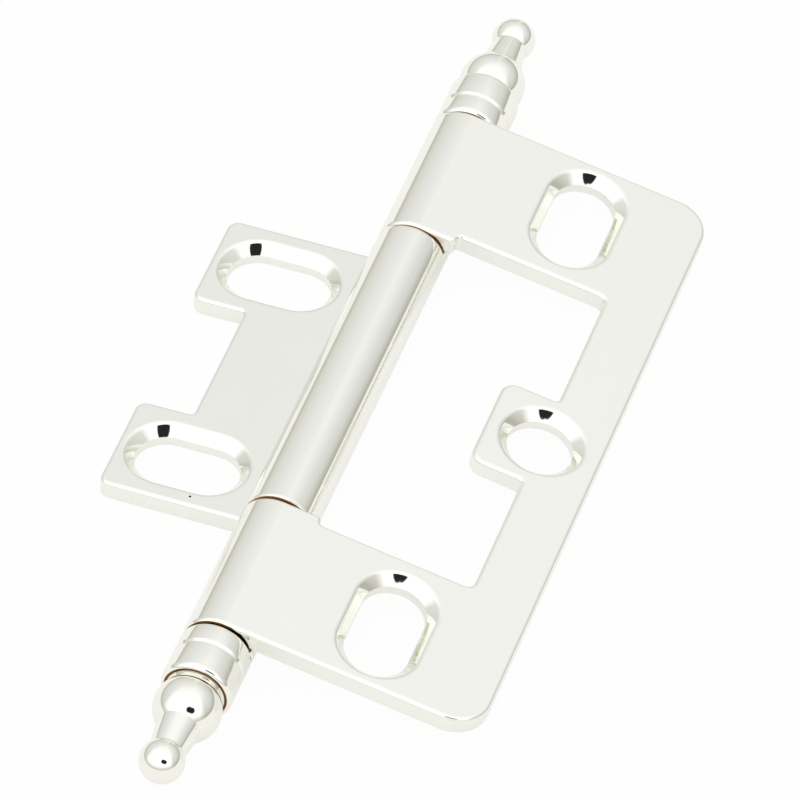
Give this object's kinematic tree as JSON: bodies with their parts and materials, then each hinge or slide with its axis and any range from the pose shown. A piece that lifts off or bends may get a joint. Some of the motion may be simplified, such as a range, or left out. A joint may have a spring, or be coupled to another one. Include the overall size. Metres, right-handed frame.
{
  "type": "non-mortise hinge",
  "caption": "Non-mortise cabinet hinge with wrapped knuckles, slotted leaves that nest in one plane, and turned ball-tipped finials.",
  "frame": {"origin": "on the back of the door leaf (the small leaf), in the middle of the web between its notch and the barrel", "axes": "+Y along the barrel, +X towards the frame leaf (the large leaf), +Z out of the surface that the hinge lies on"},
  "size_m": [0.0376, 0.0934, 0.006],
  "materials": {
    "polished_nickel": "polished nickel plate",
    "pin_steel": "plain drawn steel"
  },
  "bodies": {
    "door_side": {"door_leaf": "polished_nickel"},
    "frame_side": {"frame_leaf": "polished_nickel", "hinge_pin": "pin_steel", "upper_finial": "polished_nickel", "lower_finial": "polished_nickel"}
  },
  "joints": [
    {"name": "leaf_swing", "type": "hinge", "parent": "door_side", "child": "frame_side", "pos_m": [0.00545, 0, 0.003], "axis": [0, 1, 0], "range_deg": [-191.16, 78.84]}
  ]
}
